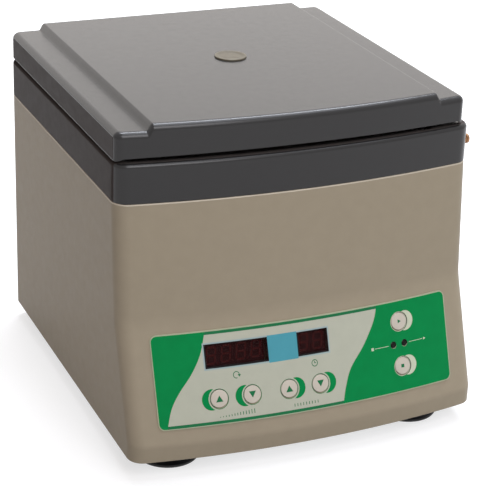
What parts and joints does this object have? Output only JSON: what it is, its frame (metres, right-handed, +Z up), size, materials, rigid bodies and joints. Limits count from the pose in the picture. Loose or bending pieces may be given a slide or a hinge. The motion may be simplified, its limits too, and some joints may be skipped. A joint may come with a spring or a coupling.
{
  "type": "benchtop centrifuge",
  "caption": "Benchtop laboratory centrifuge with hinged lid, swing-out rotor in a steel bowl, push keys and displays on a sloping panel, lid lock and rubber feet.",
  "frame": {"origin": "middle of the whole machine's footprint, on the bench that its feet stand on", "axes": "+Z up, -Y towards the user in front of the panel, +X to the user's right"},
  "size_m": [0.305, 0.3422, 0.2781],
  "materials": {
    "housing": "moulded plastic, fine grain, warm beige grey",
    "cover_grey": "moulded plastic, fine grain, dark grey",
    "lid_grey": "moulded plastic, fine grain, dark grey",
    "liner_plastic": "vacuum formed pale grey sheet",
    "port_plastic": "clear plastic, slightly yellowed",
    "galvanised": "zinc-plated sheet",
    "bright_steel": "turned steel",
    "hinge_steel": "black painted steel",
    "screw_steel": "zinc-plated screws",
    "bowl_steel": "spun stainless steel",
    "rotor_aluminium": "machined and anodised",
    "bucket_steel": "turned and anodised",
    "gasket_rubber": "soft black rubber",
    "foot_rubber": "black rubber",
    "overlay_film": "printed film in pale grey, green and blue",
    "window_film": "dark red filter film",
    "display_black": "black display modules and switches",
    "led_dark": "dark unlit lamps",
    "circuit_board": "green board",
    "key_film": "pale grey keys with green arrows",
    "key_action": "pale grey keys",
    "motor_cast": "cast housing",
    "armature_copper": "copper windings",
    "pin_brass": "turned brass",
    "solenoid_case": "plated case",
    "black_plastic": "black moulded plastic",
    "rocker_black": "black moulded rocker",
    "core_steel": "varnished laminations"
  },
  "bodies": {
    "root": {"cabinet_shell": "housing", "base_plate": "galvanised", "feet": "foot_rubber", "foot_screws": "screw_steel", "base_screws": "screw_steel", "top_cover": "cover_grey", "chamber_bowl": "bowl_steel", "chamber_gasket": "gasket_rubber", "hinge_plates": "hinge_steel", "hinge_pins": "bright_steel", "hinge_screws": "screw_steel", "control_overlay": "overlay_film", "speed_window": "window_film", "time_window": "window_film", "speed_display": "display_black", "time_display": "display_black", "status_leds": "led_dark", "control_board": "circuit_board", "key_switches": "display_black", "motor_plate": "galvanised", "motor_buffers": "foot_rubber", "motor_housing": "motor_cast", "motor_bearings": "bright_steel", "shaft_boot": "gasket_rubber", "lock_solenoid": "solenoid_case", "solenoid_bracket": "galvanised", "mains_inlet": "black_plastic", "inlet_pins": "pin_brass", "fuse_holder": "black_plastic", "switch_frame": "black_plastic", "transformer": "core_steel", "drive_board": "circuit_board"},
    "lid": {"lid_shell": "lid_grey", "lid_liner": "liner_plastic", "lid_port": "port_plastic", "liner_screws": "screw_steel", "lid_striker": "bright_steel", "hinge_arms": "hinge_steel", "arm_screws": "screw_steel"},
    "rotor": {"motor_shaft": "bright_steel", "motor_armature": "armature_copper", "rotor_yoke": "rotor_aluminium", "rotor_nut": "bright_steel"},
    "lock": {"lock_bolt": "bright_steel", "release_pin": "pin_brass"},
    "rocker": {"power_rocker": "rocker_black"},
    "bucket_1": {"bucket_1": "bucket_steel", "bucket_cushion_1": "gasket_rubber"},
    "bucket_2": {"bucket_2": "bucket_steel", "bucket_cushion_2": "gasket_rubber"},
    "bucket_3": {"bucket_3": "bucket_steel", "bucket_cushion_3": "gasket_rubber"},
    "bucket_4": {"bucket_4": "bucket_steel", "bucket_cushion_4": "gasket_rubber"},
    "key_speed_up": {"key_speed_up": "key_film"},
    "key_speed_down": {"key_speed_down": "key_film"},
    "key_time_up": {"key_time_up": "key_film"},
    "key_time_down": {"key_time_down": "key_film"},
    "key_start": {"key_start": "key_action"},
    "key_stop": {"key_stop": "key_action"}
  },
  "joints": [
    {"name": "lid_hinge", "type": "hinge", "parent": "root", "child": "lid", "pos_m": [-0.0025, 0.16615, 0.257], "axis": [-1, 0, 0], "range_deg": [0, 100]},
    {"name": "rotor_spin", "type": "hinge", "parent": "root", "child": "rotor", "pos_m": [-0.0025, 0.0151, 0.212], "axis": [0, 0, 1], "continuous": true},
    {"name": "bucket_swing_1", "type": "hinge", "parent": "rotor", "child": "bucket_1", "pos_m": [0.0435, 0.0151, 0.212], "axis": [0, -1, 0], "range_deg": [0, 90]},
    {"name": "bucket_swing_2", "type": "hinge", "parent": "rotor", "child": "bucket_2", "pos_m": [-0.0025, 0.0611, 0.212], "axis": [1, 0, 0], "range_deg": [0, 90]},
    {"name": "bucket_swing_3", "type": "hinge", "parent": "rotor", "child": "bucket_3", "pos_m": [-0.0485, 0.0151, 0.212], "axis": [0, 1, 0], "range_deg": [0, 90]},
    {"name": "bucket_swing_4", "type": "hinge", "parent": "rotor", "child": "bucket_4", "pos_m": [-0.0025, -0.0309, 0.212], "axis": [-1, 0, 0], "range_deg": [0, 90]},
    {"name": "press_speed_up", "type": "slide", "parent": "root", "child": "key_speed_up", "axis": [0.0871, 0.9384, -0.3343], "range_m": [0, 0.0008], "stiffness_N_per_m": 400},
    {"name": "press_speed_down", "type": "slide", "parent": "root", "child": "key_speed_down", "axis": [0.057, 0.9405, -0.3351], "range_m": [0, 0.0008], "stiffness_N_per_m": 400},
    {"name": "press_time_up", "type": "slide", "parent": "root", "child": "key_time_up", "axis": [0.0227, 0.9418, -0.3355], "range_m": [0, 0.0008], "stiffness_N_per_m": 400},
    {"name": "press_time_down", "type": "slide", "parent": "root", "child": "key_time_down", "axis": [-0.0072, 0.942, -0.3356], "range_m": [0, 0.0008], "stiffness_N_per_m": 400},
    {"name": "press_start", "type": "slide", "parent": "root", "child": "key_start", "axis": [-0.0911, 0.9381, -0.3342], "range_m": [0, 0.0008], "stiffness_N_per_m": 400},
    {"name": "press_stop", "type": "slide", "parent": "root", "child": "key_stop", "axis": [-0.0911, 0.9381, -0.3342], "range_m": [0, 0.0008], "stiffness_N_per_m": 400},
    {"name": "lock_slide", "type": "slide", "parent": "root", "child": "lock", "axis": [-1, 0, 0], "range_m": [0, 0.0045], "stiffness_N_per_m": 150},
    {"name": "power_switch", "type": "hinge", "parent": "root", "child": "rocker", "pos_m": [0.0315, 0.15725, 0.062], "axis": [-1, 0, 0], "range_deg": [0, 20]}
  ]
}
